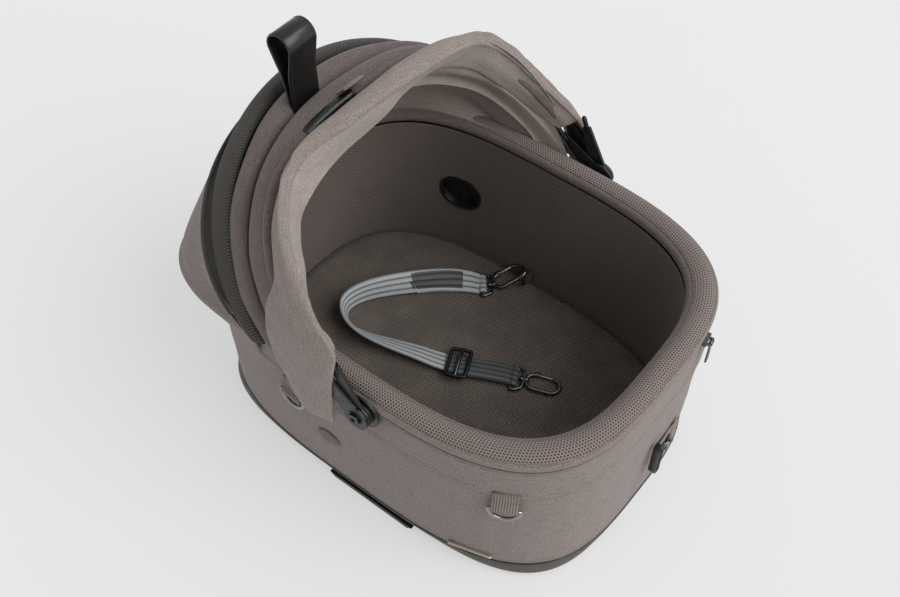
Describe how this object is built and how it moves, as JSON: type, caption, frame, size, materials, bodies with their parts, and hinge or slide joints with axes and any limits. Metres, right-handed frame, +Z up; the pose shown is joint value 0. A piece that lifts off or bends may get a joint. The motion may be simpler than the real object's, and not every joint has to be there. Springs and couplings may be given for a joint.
{
  "type": "soft-sided pet carrier tub with folding canopy",
  "caption": "Soft-sided pet carrier tub with a padded rim, folding canopy, carry handle, clip-in leash and side rings.",
  "frame": {"origin": "middle of the tub on the floor", "axes": "+X to the open front end, +Y to the tub's right side, +Z up"},
  "size_m": [0.4712, 0.3866, 0.401],
  "materials": {
    "taupe_shell": "heathered woven fabric",
    "rim_mesh": "perforated spacer mesh",
    "liner_mesh": "dark micro-perforated mesh",
    "mat_weave": "quilted weave",
    "hood_mesh": "open spacer mesh",
    "base_plastic": "moulded tray",
    "board": "stiffening board",
    "black_plastic": "glass-filled nylon",
    "rubber": "matt rubber",
    "gunmetal": "gunmetal finish",
    "steel": "satin steel",
    "tube_metal": "drawn tube",
    "leather_black": "smooth black leather",
    "zip_coil": "moulded zip teeth",
    "tape": "woven tape",
    "webbing": "satin webbing",
    "tab_webbing": "webbing"
  },
  "bodies": {
    "tub": {"base_tray": "base_plastic", "skid_left": "black_plastic", "skid_right": "black_plastic", "rubber_feet": "rubber", "tray_screws": "gunmetal", "floor_board": "board", "outer_shell": "taupe_shell", "side_stiffener_left": "board", "side_stiffener_right": "board", "end_stiffener_front": "board", "end_stiffener_rear": "board", "liner_wall": "liner_mesh", "floor_mat": "mat_weave", "port_left": "black_plastic", "port_right": "black_plastic", "rim_frame": "tube_metal", "rim_pad": "rim_mesh", "zip_tape": "tape", "zip_teeth": "zip_coil", "hub_bracket_left": "black_plastic", "hub_bracket_right": "black_plastic", "hub_screws": "gunmetal", "spring_washers": "steel", "ring_tabs": "tab_webbing", "anchor_tab": "tape", "front_tab": "tab_webbing", "front_studs": "gunmetal", "pull_loop": "leather_black", "badge_bar": "steel", "oval_patch": "taupe_shell", "canopy_rear_panel": "taupe_shell", "leash_strap": "webbing", "leash_adjuster": "gunmetal", "strap_folds": "webbing", "snap_eye_a": "gunmetal", "snap_hook_a": "gunmetal", "snap_eye_b": "gunmetal", "snap_hook_b": "gunmetal"},
    "canopy_mid": {"mid_bow": "tube_metal", "mid_bow_arms": "black_plastic", "canopy_mesh": "hood_mesh", "canopy_pleats": "taupe_shell", "grab_loop": "leather_black"},
    "canopy_front": {"front_bow": "tube_metal", "front_bow_arms": "black_plastic", "canopy_visor": "taupe_shell", "keeper_loop": "taupe_shell"},
    "carry_handle": {"handle_bow": "taupe_shell", "handle_arms": "black_plastic", "handle_grip": "leather_black"},
    "ring_front_left": {"d_ring_front_left": "steel"},
    "ring_front_right": {"d_ring_front_right": "steel"},
    "ring_rear_left": {"d_ring_rear_left": "steel"},
    "ring_rear_right": {"d_ring_rear_right": "steel"},
    "anchor": {"anchor_ring": "steel"},
    "slider": {"zip_slider": "gunmetal"},
    "pull": {"zip_pull": "gunmetal"},
    "gate_a": {"snap_gate_a": "gunmetal"},
    "gate_b": {"snap_gate_b": "gunmetal"}
  },
  "joints": [
    {"name": "canopy_fold", "type": "hinge", "parent": "tub", "child": "canopy_mid", "pos_m": [0.034, 0, 0.189], "axis": [0, 1, 0], "range_deg": [0, 32]},
    {"name": "visor_fold", "type": "hinge", "parent": "canopy_mid", "child": "canopy_front", "pos_m": [0.034, 0, 0.189], "axis": [0, 1, 0], "range_deg": [0, 32]},
    {"name": "handle_fold", "type": "hinge", "parent": "tub", "child": "carry_handle", "pos_m": [0.034, 0, 0.189], "axis": [0, 1, 0], "range_deg": [0, 64]},
    {"name": "ring_front_left_swing", "type": "hinge", "parent": "tub", "child": "ring_front_left", "pos_m": [0.16737, -0.15353, 0.132], "axis": [-0.8843, -0.467, 0], "range_deg": [0, 70]},
    {"name": "ring_front_right_swing", "type": "hinge", "parent": "tub", "child": "ring_front_right", "pos_m": [0.16737, 0.15353, 0.132], "axis": [0.8843, -0.467, 0], "range_deg": [0, 70]},
    {"name": "ring_rear_left_swing", "type": "hinge", "parent": "tub", "child": "ring_rear_left", "pos_m": [-0.05792, -0.17486, 0.124], "axis": [-0.9994, 0.0339, 0], "range_deg": [0, 70]},
    {"name": "ring_rear_right_swing", "type": "hinge", "parent": "tub", "child": "ring_rear_right", "pos_m": [-0.05792, 0.17486, 0.124], "axis": [0.9994, 0.0339, 0], "range_deg": [0, 70]},
    {"name": "anchor_swing", "type": "hinge", "parent": "tub", "child": "anchor", "pos_m": [-0.011, 0.1365, 0.044], "axis": [0, 0, 1], "range_deg": [-3, 3]},
    {"name": "zip_slide", "type": "slide", "parent": "tub", "child": "slider", "axis": [-0.1458, 0.9893, 0], "range_m": [-0.012, 0.012]},
    {"name": "pull_swing", "type": "hinge", "parent": "slider", "child": "pull", "pos_m": [0.22844, 0.06884, 0.19], "axis": [0.1458, -0.9893, 0], "range_deg": [0, 90]},
    {"name": "gate_a_press", "type": "hinge", "parent": "tub", "child": "gate_a", "pos_m": [-0.03866, 0.12455, 0.03952], "axis": [0.1208, 0.2477, -0.9613], "range_deg": [0, 22], "stiffness_Nm_per_rad": 0.02, "springref_deg": -20.05},
    {"name": "gate_b_press", "type": "hinge", "parent": "tub", "child": "gate_b", "pos_m": [0.07392, 0.04146, 0.0363], "axis": [0, 0, -1], "range_deg": [0, 22], "stiffness_Nm_per_rad": 0.02, "springref_deg": -20.05}
  ],
  "couplings": [
    {"joint": "visor_fold", "follows": "canopy_fold", "ratio": 1},
    {"joint": "handle_fold", "follows": "canopy_fold", "ratio": 2}
  ]
}
